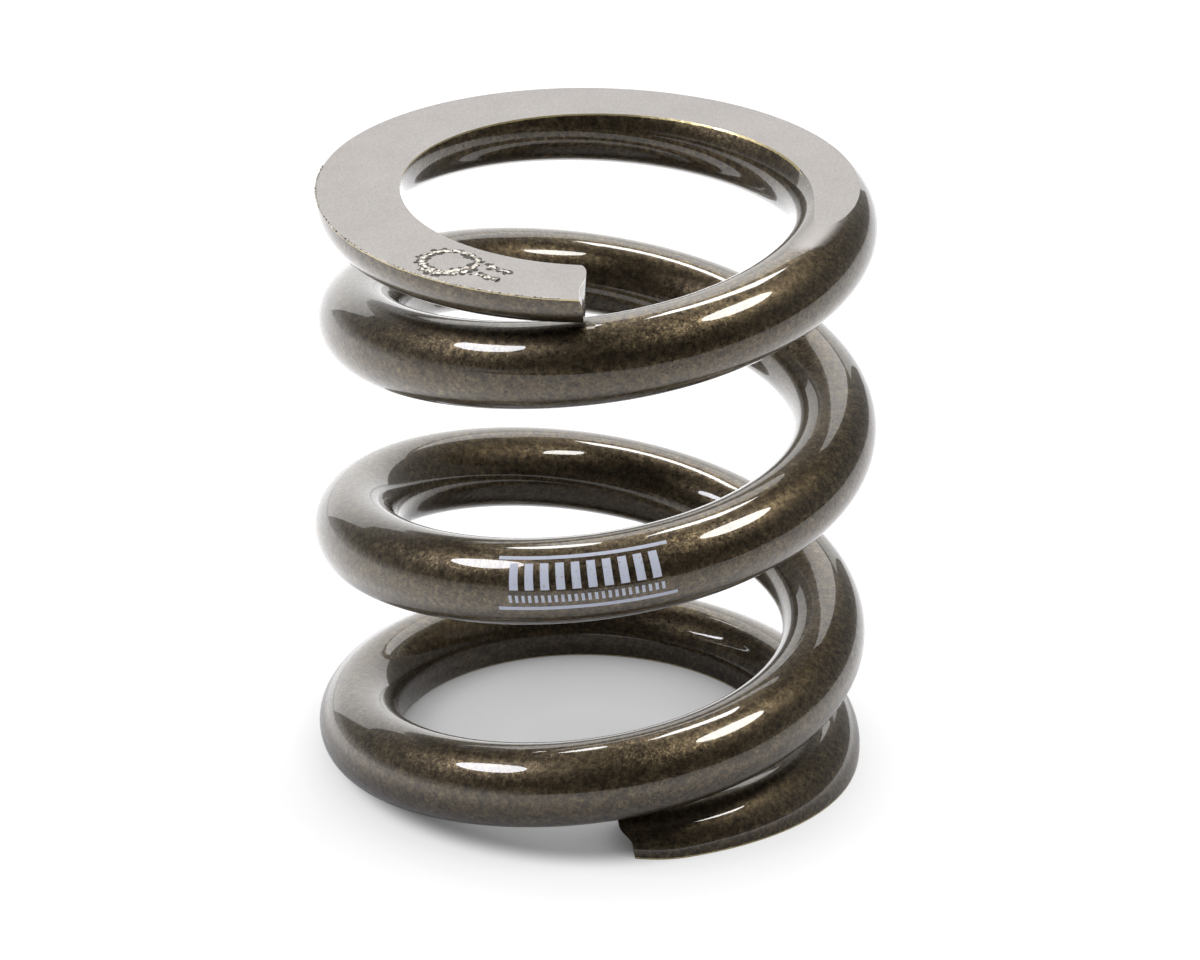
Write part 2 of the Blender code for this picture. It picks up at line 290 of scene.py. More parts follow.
def wire_path_group():
    """Middle of the wire, and the level direction away from the axis, this many turns from the lower tip."""
    share = closed_share_group()
    outputs = [("Middle", "Vector"), ("Outwards", "Vector")]
    w = new_group("Wire path", ["Turns", *names_of(SpringSizes)], outputs=outputs)
    w.work_out((("turns from top", "SUBTRACT", "Total Turns", "Turns"),))
    for end, from_tip in (("Lower", "Turns"), ("Upper", "turns from top")):
        for label, turns in (("first", 1.0), ("all", "Total Turns"), ("here", from_tip)):
            inputs = {"Turns": turns, "Closed": end + " Closed Turns", "Lead": end + " Lead Turns"}
            w.add(f"{end} {label}", "GeometryNodeGroup", inputs, node_tree=share)
        w.work_out((
            (end + " share", "DIVIDE", end + " all", end + " first"),
            (end + " relaxed", "ADD", end + " Drawn Turns", end + " Relax Turns"),
        ))
    w.work_out((
        ("wire radius", "MULTIPLY", "Wire Diameter", 0.5),
        ("mean diameter", "SUBTRACT", "Outside Diameter", "Wire Diameter"),
        ("reach", "MULTIPLY", "mean diameter", 0.5),
        ("touching pitch", "ADD", "Wire Diameter", "Tip Gap"),
        ("first height", "SUBTRACT", "Lower Tip Thickness", "wire radius"),
        ("below top", "SUBTRACT", "Free Length", "Upper Tip Thickness"),
        ("last height", "ADD", "below top", "wire radius"),
        ("closed share", "ADD", "Lower share", "Upper share"),
        ("rise", "SUBTRACT", "last height", "first height"),
        ("closed rise", "MULTIPLY", "touching pitch", "closed share"),
        ("open rise", "SUBTRACT", "rise", "closed rise"),
        ("open turns", "SUBTRACT", "Total Turns", "closed share"),
        ("body pitch", "DIVIDE", "open rise", "open turns"),
        ("loss", "SUBTRACT", "body pitch", "touching pitch"),
        ("lower loss", "DIVIDE", "loss", "Lower first"),
        ("upper loss", "DIVIDE", "loss", "Upper first"),
        ("lost low", "MULTIPLY", "lower loss", "Lower here"),
        ("upper passed", "SUBTRACT", "Upper all", "Upper here"),
        ("lost high", "MULTIPLY", "upper loss", "upper passed"),
        ("full height", "MULTIPLY_ADD", "body pitch", "Turns", "first height"),
        ("without low", "SUBTRACT", "full height", "lost low"),
        ("height", "SUBTRACT", "without low", "lost high"),
    ))
    # How the tips and the end turns stray from the body's radius
    changes = (
        ("Turns", "Lower Drawn Turns", "Lower relaxed", "Lower Draw In", "SUBTRACT"),
        ("turns from top", "Upper Drawn Turns", "Upper relaxed", "Upper Draw In", "SUBTRACT"),
        ("Turns", 0.0, "Lower Curl Turns", "Lower Tip Curl", "SUBTRACT"),
        ("Turns", 0.0, "Lower Pinch Turns", "Lower Tip Pinch", "SUBTRACT"),
        ("turns from top", 0.0, "Upper Spread Turns", "Upper Tip Spread", "ADD"),
    )
    for *ramp, operation in changes:
        w.add("eased", "ShaderNodeMapRange", dict(zip(RAMP, (*ramp, 0.0))), interpolation_type="SMOOTHERSTEP")
        w.work_out((("reach", operation, "reach", "eased"),))
    w.work_out((
        ("angle", "MULTIPLY_ADD", "Turns", math.tau, "Lower Tip Angle"),
        ("to the right", "SINE", "angle"),
        ("cosine", "COSINE", "angle"),
        ("to the back", "MULTIPLY", "cosine", -1.0),
    ))
    w.add("outwards", "ShaderNodeCombineXYZ", {"X": "to the right", "Y": "to the back"})
    w.add("lift", "ShaderNodeCombineXYZ", {"Z": "height"})
    w.work_out((("middle", "MULTIPLY_ADD", "outwards", "reach", "lift"),), "ShaderNodeVectorMath")
    w.add("result", "NodeGroupOutput", {"Middle": "middle", "Outwards": "outwards"})
    return w.tree


def follow(w, name, turns):
    """The wire path at these turns, with its sizes taken from the tree's own inputs."""
    path = bpy.data.node_groups.get("Wire path") or wire_path_group()
    inputs = {label: label for label in names_of(SpringSizes)}
    w.add(name, "GeometryNodeGroup", {**inputs, "Turns": turns}, node_tree=path)


def coil_tree():
    """The whole spring: wire swept along its path, tips cut, both ends ground flat."""
    w = new_group(
        "Wound coil", [*names_of(SpringSizes), "Spare Turns", "Sharp Edge"], Int=["Points Per Turn", "Wire Sides"],
        Object=["Tip Cutters"], Material=["Paint", "Ground Steel"],
    )
    w.add("along", "GeometryNodeSplineParameter")
    w.add("position", "GeometryNodeInputPosition")
    w.add("spot", "ShaderNodeSeparateXYZ", {0: "position"})
    w.work_out((
        ("wound turns", "MULTIPLY_ADD", "Spare Turns", 2.0, "Total Turns"),
        ("points", "MULTIPLY", "wound turns", "Points Per Turn"),
        ("turns wound", "MULTIPLY", "along.Factor", "wound turns"),
        ("turns", "SUBTRACT", "turns wound", "Spare Turns"),
        ("wire radius", "MULTIPLY", "Wire Diameter", 0.5),
        ("slab width", "MULTIPLY", "Outside Diameter", 2.0),
        ("upper slab height", "ADD", "Free Length", "wire radius"),
        ("lower slab height", "MULTIPLY", "wire radius", -1.0),
        ("half length", "MULTIPLY", "Free Length", 0.5),
        ("almost half length", "SUBTRACT", "half length", SEAT_TOLERANCE),
        ("height over middle", "SUBTRACT", "spot.Z", "half length"),
        ("distance to middle", "ABSOLUTE", "height over middle"),
    ))
    w.add("line", "GeometryNodeCurvePrimitiveLine")
    w.add("wire", "GeometryNodeResampleCurve", {"Curve": "line", "Count": "points"})
    follow(w, "path", "turns")
    w.add("placed", "GeometryNodeSetPosition", {"Geometry": "wire", "Position": "path.Middle"})
    w.add("upright", "GeometryNodeSetCurveNormal", {"Curve": "placed"}, mode="Z_UP")
    circle = {"Resolution": "Wire Sides", "Radius": "wire radius"}
    w.add("section", "GeometryNodeCurvePrimitiveCircle", circle, mode="RADIUS")
    w.add("swept", "GeometryNodeCurveToMesh", {"Curve": "upright", "Profile Curve": "section", "Fill Caps": True})
    w.add("slab size", "ShaderNodeCombineXYZ", {"X": "slab width", "Y": "slab width", "Z": "Wire Diameter"})
    w.add("slab", "GeometryNodeMeshCube", {"Size": "slab size"})
    w.add("cutters", "GeometryNodeObjectInfo", {"Object": "Tip Cutters"})
    meshes = {"Mesh 1": "swept", "Mesh 2": "cutters.Geometry"}
    cut = w.add("cut", "GeometryNodeMeshBoolean", meshes, operation="DIFFERENCE", solver="EXACT")
    for height in ("upper slab height", "lower slab height"):
        w.add("slab place", "ShaderNodeCombineXYZ", {"Z": height})
        w.add("moved", "GeometryNodeTransform", {"Geometry": "slab", "Translation": "slab place"})
        w.feed(cut, {"Mesh 2": "moved"})

    w.add("on seat", "FunctionNodeCompare", {"A": "distance to middle", "B": "almost half length"})
    w.add("edge angle", "GeometryNodeInputMeshEdgeAngle")
    w.add("crisp", "FunctionNodeCompare", {"A": "edge angle.Unsigned Angle", "B": "Sharp Edge"})
    w.add("smooth", "GeometryNodeSetShadeSmooth", {0: "cut", "Shade Smooth": True})
    w.add("flat seats", "GeometryNodeSetShadeSmooth", {0: "smooth", "Selection": "on seat", "Shade Smooth": False})
    edges = {0: "flat seats", "Selection": "crisp", "Shade Smooth": False}
    w.add("crisp edges", "GeometryNodeSetShadeSmooth", edges, domain="EDGE")
    w.add("real", "GeometryNodeRealizeInstances", {0: "crisp edges"})
    w.add("painted", "GeometryNodeSetMaterial", {0: "real", "Material": "Paint"})
    seats = {0: "painted", "Selection": "on seat", "Material": "Ground Steel"}
    w.add("finished", "GeometryNodeSetMaterial", seats)
    w.add("result", "NodeGroupOutput", {0: "finished"})
    return w.tree


def put_in_scene(name, data):
    """A new object that holds this mesh, lamp or camera."""
    holder = bpy.data.objects.new(name, data)
    bpy.context.scene.collection.objects.link(holder)
    return holder


def modelled(name, shape):
    """A mesh object of what was modelled in this bmesh."""
    bmesh.ops.recalc_face_normals(shape, faces=shape.faces)
    mesh = bpy.data.meshes.new(name)
    shape.to_mesh(mesh)
    shape.free()
    return put_in_scene(name, mesh)


def grown(name, tree, values):
    """A plain mesh object from what a Geometry Nodes tree makes with these input values."""
    seed = put_in_scene(name + "_seed", bpy.data.meshes.new(name + "_seed"))
    nodes = seed.modifiers.new(name, "NODES")
    nodes.node_group = tree
    for item in tree.interface.items_tree:
        if item.item_type == "SOCKET" and item.in_out == "INPUT" and item.name in values:
            nodes[item.identifier] = values[item.name]
    bpy.context.view_layer.update()
    evaluated = seed.evaluated_get(bpy.context.evaluated_depsgraph_get())
    mesh = bpy.data.meshes.new_from_object(evaluated)
    mesh.name = name
    bpy.data.objects.remove(seed)
    if not mesh.polygons:
        raise RuntimeError(f"{name}: its node tree made no faces")
    return put_in_scene(name, mesh)


# Tips. The upper one is cut square, with a rounded inner corner and a nick in its top edge. The lower one is
# sheared, so that its foot is set back from its top edge in a soft step.
CORNER_ALONG = 0.6 * MM
CORNER_ACROSS = 1.8 * MM
CORNER_STEPS = 10
CORNER_SWEEP = math.radians(72)
NICK_DEPTH = 0.42 * MM
NICK_SIDE_DEPTH = 0.26 * MM
NICK_HEIGHT = 1.2 * MM
NICK_INNER = -1.2 * MM
NICK_MIDDLE = 1.15 * MM
SHEAR_SETBACK = 1.1 * MM
SHEAR_STEP_LOW = 0.9 * MM
SHEAR_STEP_RISE = 1.8 * MM
SHEAR_TOE = 0.15 * MM
SHEAR_POINTS = 40
# Wire wound past each tip, which is cut off again, and how far the cutters reach past what they cut
SPARE_WIRE = 0.5 * MM
CUT_ROOM = 1.0 * MM


def smoother(x):
    """Eases from 0 to 1, level at both ends."""
    x = min(max(x, 0.0), 1.0)
    return x * x * x * (x * (6 * x - 15) + 10)


def add_prism(shape, outline, origin, axes, span, lean=0.0):
    """Closed prism. axes are the directions of the outline's coordinates and of its run, and span its run."""
    across, along, through = axes
    rings = [
        [shape.verts.new(origin + across * (u + lean * run) + along * v + through * run) for u, v in outline]
        for run in span
    ]
    for ring in rings:
        shape.faces.new(ring)
    for number in range(len(outline)):
        after = (number + 1) % len(outline)
        shape.faces.new((rings[0][number], rings[0][after], rings[1][after], rings[1][number]))


def tip_directions(angle):
    """Away from the axis, and onwards along the wire, at this angle from the front."""
    return Vector((math.sin(angle), -math.cos(angle), 0)), Vector((math.cos(angle), math.sin(angle), 0))


def tip_cutters(sizes):
    """One mesh that holds what is cut off both tips."""
    radius = sizes.wire_diameter / 2
    body = (sizes.outside_diameter - sizes.wire_diameter) / 2
    side = radius + CUT_ROOM
    up = Vector((0, 0, 1))
    shape = bmesh.new()

    outwards, onwards = tip_directions(sizes.lower_tip_angle + math.tau * sizes.total_turns)
    reach = body - sizes.upper_draw_in + sizes.upper_tip_spread
    origin = outwards * reach + up * sizes.free_length
    outline = [(CUT_ROOM, -side), (CUT_ROOM, side), (0.0, side)]
    for step in range(CORNER_STEPS + 1):
        turn = CORNER_SWEEP * step / CORNER_STEPS
        across = -radius + CORNER_ACROSS * (1 - math.sin(turn))
        outline.append((CORNER_ALONG * (math.cos(turn) - 1), across))
    outline.append((-CORNER_ALONG, -side))
    axes = (onwards, outwards, up)
    below = -sizes.upper_tip_thickness - sizes.tip_gap / 2
    add_prism(shape, outline, origin, axes, (below, CUT_ROOM))

    corners = ((CUT_ROOM, NICK_INNER), (0.0, NICK_INNER), (-NICK_DEPTH, NICK_MIDDLE))
    nick = (*corners, (-NICK_SIDE_DEPTH, side), (CUT_ROOM, side))
    add_prism(shape, nick, origin, axes, (-NICK_HEIGHT - CUT_ROOM, CUT_ROOM), -NICK_DEPTH / NICK_HEIGHT)

    outwards, onwards = tip_directions(sizes.lower_tip_angle)
    reach = body - sizes.lower_draw_in - sizes.lower_tip_curl - sizes.lower_tip_pinch
    top = sizes.lower_tip_thickness + sizes.tip_gap / 2
    outline = [(CUT_ROOM, top), (CUT_ROOM, -CUT_ROOM)]
    for number in range(SHEAR_POINTS + 1):
        height = -CUT_ROOM + (top + CUT_ROOM) * number / SHEAR_POINTS
        step = SHEAR_SETBACK * (1 - smoother((height - SHEAR_STEP_LOW) / SHEAR_STEP_RISE))
        toe = SHEAR_TOE * max(0.0, 1 - height / SHEAR_STEP_LOW)
        outline.append((-step - toe, height))
    add_prism(shape, outline, outwards * reach, (-onwards, up, outwards), (-side, side))
    return modelled("tip_cutters", shape)


def blank_material(name, unit=MM):
    """A new material, its wiring and its shader.

    Its place is known in millimetres, so that a texture's scale is one over a size in millimetres, or in this unit.
    """
    material = bpy.data.materials.new(name)
    material.use_nodes = True
    w = Wiring(material.node_tree)
    w.add("object", "ShaderNodeTexCoord")
    w.add("place", "ShaderNodeVectorMath", {0: "object.Object", "Scale": 1 / unit}, operation="SCALE")
    return material, w, w.tree.nodes["Principled BSDF"]


def bronze_paint(finish, free_length):
    """Metallic car paint, sprayed and clear-coated: fine flakes under a glassy, slightly uneven skin."""
    material, w, shader = blank_material("bronze_metallic_clearcoat")
    for name, size in (("flakes", 0.11), ("pores", 0.45)):
        w.add(name, "ShaderNodeTexVoronoi", {"Vector": "place", "Scale": 1 / size})
    noises = (("cloud", 0.9, 4.0, 0.7), ("crowd", 4.0, 1.0, 0.5), ("ragged", 0.4, 4.0, 0.65), ("peel", 1.8, 1.0, 0.5))
    for name, size, detail, roughness in noises:
        waves = {"Vector": "place", "Scale": 1 / size, "Detail": detail, "Roughness": roughness}
        w.add(name, "ShaderNodeTexNoise", waves)
    w.add("grain", "ShaderNodeSeparateColor", {"Color": "flakes.Color"})
    w.add("chance", "ShaderNodeSeparateColor", {"Color": "pores.Color"})
    w.add("surface", "ShaderNodeNewGeometry")
    w.add("spot", "ShaderNodeSeparateXYZ", {0: "place"})
    w.add("facing", "ShaderNodeSeparateXYZ", {0: "surface.Normal"})
    half_length = free_length / MM / 2
    w.work_out((
        ("flake size", "ADD", "grain", 0.4),
        ("thin cloud", "MULTIPLY_ADD", "cloud", 1.6, -0.3),
        ("flake share", "MULTIPLY", "flake size", "thin cloud"),
        ("shown fleck", "MULTIPLY", "flake share", 0.34),
        # Pores: dark pinholes, which come in crowds
        ("crowding", "MULTIPLY_ADD", "crowd", 3.0, -1.3),
        ("has pore", "LESS_THAN", "chance", "crowding"),
        ("pore size", "MULTIPLY_ADD", "chance", 0.15, 0.18),
        ("in pore", "LESS_THAN", "pores.Distance", "pore size"),
        ("pore", "MULTIPLY", "has pore", "in pore"),
        ("pitting", "MULTIPLY_ADD", "pore", -0.7, 1.0),
        ("raw mottling", "MULTIPLY_ADD", "ragged", 3.8, -0.85),
        ("mottling", "MAXIMUM", "raw mottling", 0.15),
        ("sound paint", "MULTIPLY", "pitting", "mottling"),
        # Worn thin along the edges of the ground seats, where the wire's side is steep, and lighter there also as a
        # painted highlight that the edge would catch
        ("over middle", "SUBTRACT", "spot.Z", half_length),
        ("off middle", "ABSOLUTE", "over middle"),
        ("below seat", "SUBTRACT", half_length, "off middle"),
        ("frayed", "MULTIPLY_ADD", "ragged", -0.12, "below seat"),
        ("near seat", "LESS_THAN", "frayed", 0.08),
        ("slope", "ABSOLUTE", "facing.Z"),
        ("steep", "LESS_THAN", "slope", 0.75),
        ("wear", "MULTIPLY", "near seat", "steep"),
        ("shown wear", "MULTIPLY", "wear", 0.9),
        # Ground through to the steel past the seats' ends, where the wire's flat back lies just under the wheel
        ("low", "SUBTRACT", 0.52, "frayed"),
        ("reached", "MULTIPLY", "low", 6.0),
        ("flat", "MULTIPLY_ADD", "slope", 12.0, -10.6),
        ("both", "MINIMUM", "reached", "flat"),
        ("some", "MAXIMUM", "both", 0.0),
        ("bared", "MINIMUM", "some", 1.0),
        ("coated", "SUBTRACT", 1.0, "bared"),
    ))
    flaked = {0: "shown fleck", 6: finish.paint_dark, 7: finish.paint_fleck}
    w.add("flaked", "ShaderNodeMix", flaked, data_type="RGBA")
    w.add("pitted", "ShaderNodeVectorMath", {0: "flaked.2", "Scale": "sound paint"}, operation="SCALE")
    w.add("worn", "ShaderNodeMix", {0: "shown wear", 6: "pitted", 7: finish.paint_edge_and_highlight}, data_type="RGBA")
    w.add("colour", "ShaderNodeMix", {0: "bared", 6: "worn.2", 7: finish.steel}, data_type="RGBA")
    # Each flake lies a few degrees off the surface, under a coat that hardly follows it. It lies the flatter the
    # more it is seen from the side, where the coat hides its sparkle.
    w.add("sideways", "ShaderNodeLayerWeight", {"Blend": 0.5})
    w.add("tilt", "ShaderNodeMapRange", dict(zip(RAMP, ("sideways.Facing", 0.1, 0.7, 0.15, 0.02))))
    w.work_out((
        ("lean", "SUBTRACT", "flakes.Color", (0.5, 0.5, 0.5)),
        ("leaning", "MULTIPLY_ADD", "lean", "tilt", "surface.Normal"),
        ("flake normal", "NORMALIZE", "leaning"),
    ), "ShaderNodeVectorMath")
    w.add("skin", "ShaderNodeBump", {"Height": "peel", "Strength": 1.0, "Distance": 0.004 * MM})
    w.feed(shader, {
        "Base Color": "colour.2", "Metallic": 0.85, "Roughness": 0.41, "Normal": "flake normal",
        "Coat Weight": "coated", "Coat Roughness": 0.02, "Coat IOR": 1.5, "Coat Normal": "skin",
    })
    return material


def ground_steel(finish):
    """Spring steel ground on a face grinder: satin, with a fine grain that runs one way and sparkles a little."""
    material, w, shader = blank_material("ground_spring_steel")
    w.work_out((("along", "MULTIPLY", "place", (1.0, 0.35, 1.0)),), "ShaderNodeVectorMath")
    w.add("grain", "ShaderNodeTexNoise", {"Vector": "along", "Scale": 1 / 0.16, "Detail": 3.0, "Roughness": 0.6})
    w.add("drift", "ShaderNodeTexNoise", {"Vector": "place", "Scale": 1 / 4.0, "Detail": 3.0})
    w.work_out((
        ("fine", "MULTIPLY_ADD", "grain", 0.8, 0.5),
        ("shade", "MULTIPLY_ADD", "drift", 0.2, "fine"),
        ("roughness", "MULTIPLY_ADD", "grain", 0.2, 0.32),
    ))
    w.add("colour", "ShaderNodeVectorMath", {0: finish.steel[:], "Scale": "shade"}, operation="SCALE")
    w.add("bump", "ShaderNodeBump", {"Height": "grain", "Strength": 1.0, "Distance": 0.012 * MM})
    w.feed(shader, {"Base Color": "colour", "Metallic": 1.0, "Roughness": "roughness", "Normal": "bump"})
    return material


def raised_steel(finish):
    """Steel thrown up by an electric etcher or a grinding wheel: bright steel, mixed with the dark Burnt colour in
    patches that noise lays at random.
    """
    material, w, shader = blank_material("raised_steel_burr")
    w.add("lumps", "ShaderNodeTexNoise", {"Vector": "place", "Scale": 1 / 0.35, "Detail": 3.0, "Roughness": 0.7})
    w.add("pits", "ShaderNodeMapRange", {"Value": "lumps", "From Min": 0.47, "From Max": 0.6})
    w.add("colour", "ShaderNodeMix", {0: "pits", 6: finish.burr, 7: finish.burnt}, data_type="RGBA")
    w.feed(shader, {"Base Color": "colour.2", "Metallic": 1.0, "Roughness": 0.42})
    return material


def burnt_spatter(finish):
    """Slag that the etcher's spark threw aside: matt and brownish black, rough as a cinder."""
    material, w, shader = blank_material("burnt_etching_slag")
    w.add("crust", "ShaderNodeTexNoise", {"Vector": "place", "Scale": 1 / 0.12, "Detail": 3.0, "Roughness": 0.7})
    w.add("shade", "ShaderNodeMapRange", {"Value": "crust", "To Min": 0.4, "To Max": 2.4})
    w.add("colour", "ShaderNodeVectorMath", {0: finish.burnt[:], "Scale": "shade"}, operation="SCALE")
    w.add("bump", "ShaderNodeBump", {"Height": "crust", "Strength": 1.0, "Distance": 0.02 * MM})
    w.feed(shader, {"Base Color": "colour", "Metallic": 0.4, "Roughness": 0.6, "Normal": "bump"})
    return material


def pad_ink(finish):
    """Pale pad-print ink, matt and thin, with pinholes where it didn't take."""
    material, w, shader = blank_material("pad_print_ink")
    w.add("patches", "ShaderNodeTexNoise", {"Vector": "place", "Scale": 1 / 0.25, "Detail": 3.0, "Roughness": 0.6})
    w.add("missing", "ShaderNodeMapRange", {"Value": "patches", "From Min": 0.6, "From Max": 0.72, "To Max": 0.7})
    w.add("colour", "ShaderNodeMix", {0: "missing", 6: finish.ink, 7: finish.paint_fleck}, data_type="RGBA")
    w.feed(shader, {"Base Color": "colour.2", "Roughness": 0.55})
    return material


def onto_wire_group():
    """Wraps flat shapes round the wire: X runs along it, Y up round its section and Z off its surface."""
    w = new_group("Onto wire", ["Print Turns", "Print Angle", *names_of(SpringSizes)], Geometry=["Geometry"])
    w.add("position", "GeometryNodeInputPosition")
    w.add("flat", "ShaderNodeSeparateXYZ", {0: "position"})
    w.work_out((
        ("wire radius", "MULTIPLY", "Wire Diameter", 0.5),
        ("outer turn", "MULTIPLY", "Outside Diameter", math.pi),
        ("moved turns", "DIVIDE", "flat.X", "outer turn"),
        ("turns", "ADD", "moved turns", "Print Turns"),
        ("turns after", "ADD", "turns", TURN_STEP),
        ("turns before", "SUBTRACT", "turns", TURN_STEP),
        ("moved angle", "DIVIDE", "flat.Y", "wire radius"),
        ("angle", "ADD", "moved angle", "Print Angle"),
        ("off middle", "ADD", "wire radius", "flat.Z"),
        ("cosine", "COSINE", "angle"),
        ("sine", "SINE", "angle"),
        ("out by", "MULTIPLY", "cosine", "off middle"),
        ("up by", "MULTIPLY", "sine", "off middle"),
    ))
    for name, turns in (("here", "turns"), ("after", "turns after"), ("before", "turns before")):
        follow(w, name, turns)
    w.work_out((
        ("run", "SUBTRACT", "after.Middle", "before.Middle"),
        ("along", "NORMALIZE", "run"),
        ("square", "CROSS_PRODUCT", "here.Outwards", "along"),
        ("up", "NORMALIZE", "square"),
        ("out", "CROSS_PRODUCT", "along", "up"),
        ("outwards", "MULTIPLY_ADD", "out", "out by", "here.Middle"),
        ("place", "MULTIPLY_ADD", "up", "up by", "outwards"),
    ), "ShaderNodeVectorMath")
    w.add("moved", "GeometryNodeSetPosition", {"Geometry": "Geometry", "Position": "place"})
    w.add("result", "NodeGroupOutput", {0: "moved"})
    return w.tree


def print_tree():
    """Pad print laid out flat and wrapped onto the wire: a row of bars over a row of ticks, between two lines."""
    counts = ["Bar Count", "Tick Count"]
    labels = [label for label in names_of(PrintSettings) if label not in counts]
    w = new_group("Pad print", [*labels, *names_of(SpringSizes)], Int=counts, Material=["Ink"])
    w.work_out((("Lower Height", "MULTIPLY", "Line Height", -1.0), ("No Pitch", "MULTIPLY", "Line Height", 0.0)))
    w.known["One"] = 1
    # Count, pitch, width, length and height of each row's marks, and the points along and across one of them
    rows = (
        ("Bar Count", "Bar Pitch", "Bar Width", "Bar Length", "Bar Height", 3, 10),
        ("Tick Count", "Tick Pitch", "Tick Width", "Tick Length", "Tick Height", 2, 4),
        ("One", "No Pitch", "Line Length", "Line Width", "Line Height", 120, 3),
        ("One", "No Pitch", "Line Length", "Line Width", "Lower Height", 120, 3),
    )
    joined = w.add("joined", "GeometryNodeJoinGeometry")
    for count, pitch, width, length, height, columns, levels in rows:
        w.add("size", "ShaderNodeCombineXYZ", {"X": width, "Y": length, "Z": "Ink Thickness"})
        w.add("mark", "GeometryNodeMeshCube", {"Size": "size", "Vertices X": columns, "Vertices Y": levels})
        w.work_out((
            ("gaps", "SUBTRACT", count, 1.0),
            ("row length", "MULTIPLY", "gaps", pitch),
            ("row start", "MULTIPLY", "row length", -0.5),
        ))
        w.add("start", "ShaderNodeCombineXYZ", {"X": "row start", "Y": height})
        w.add("step", "ShaderNodeCombineXYZ", {"X": pitch})
        w.add("row", "GeometryNodeMeshLine", {"Count": count, "Start Location": "start", "Offset": "step"})
        w.add("marks", "GeometryNodeInstanceOnPoints", {"Points": "row", "Instance": "mark"})
        w.feed(joined, {0: "marks"})
    w.add("real", "GeometryNodeRealizeInstances", {0: "joined"})
    inputs = {label: label for label in ["Print Turns", "Print Angle", *names_of(SpringSizes)]}
    w.add("wrapped", "GeometryNodeGroup", {**inputs, "Geometry": "real"}, node_tree=onto_wire_group())
    w.add("inked", "GeometryNodeSetMaterial", {0: "wrapped", "Material": "Ink"})
    w.add("result", "NodeGroupOutput", {0: "inked"})
    return w.tree


